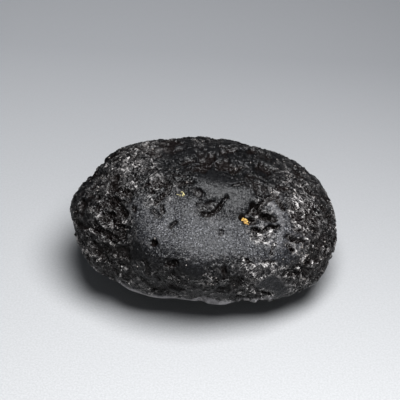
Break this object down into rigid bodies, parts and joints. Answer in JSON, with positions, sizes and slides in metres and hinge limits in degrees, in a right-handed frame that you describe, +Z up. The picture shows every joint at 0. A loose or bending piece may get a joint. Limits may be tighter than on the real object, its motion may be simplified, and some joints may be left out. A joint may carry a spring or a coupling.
{
  "type": "tektite",
  "caption": "Oblong pebble of black natural glass with a broad smooth hollow and etched pits and grooves, lying on a small flat facet.",
  "frame": {"origin": "middle of the length and width, on the plane of the resting facet", "axes": "+X along the pebble's length, +Z up, the broad smooth hollow looks up and towards -Y"},
  "size_m": [0.0508, 0.0359, 0.0273],
  "materials": {
    "tektite_glass": "opaque black natural glass, satin on the smooth patches and rough with small glints where it is etched"
  },
  "bodies": {
    "root": {"tektite": "tektite_glass"}
  },
  "joints": []
}
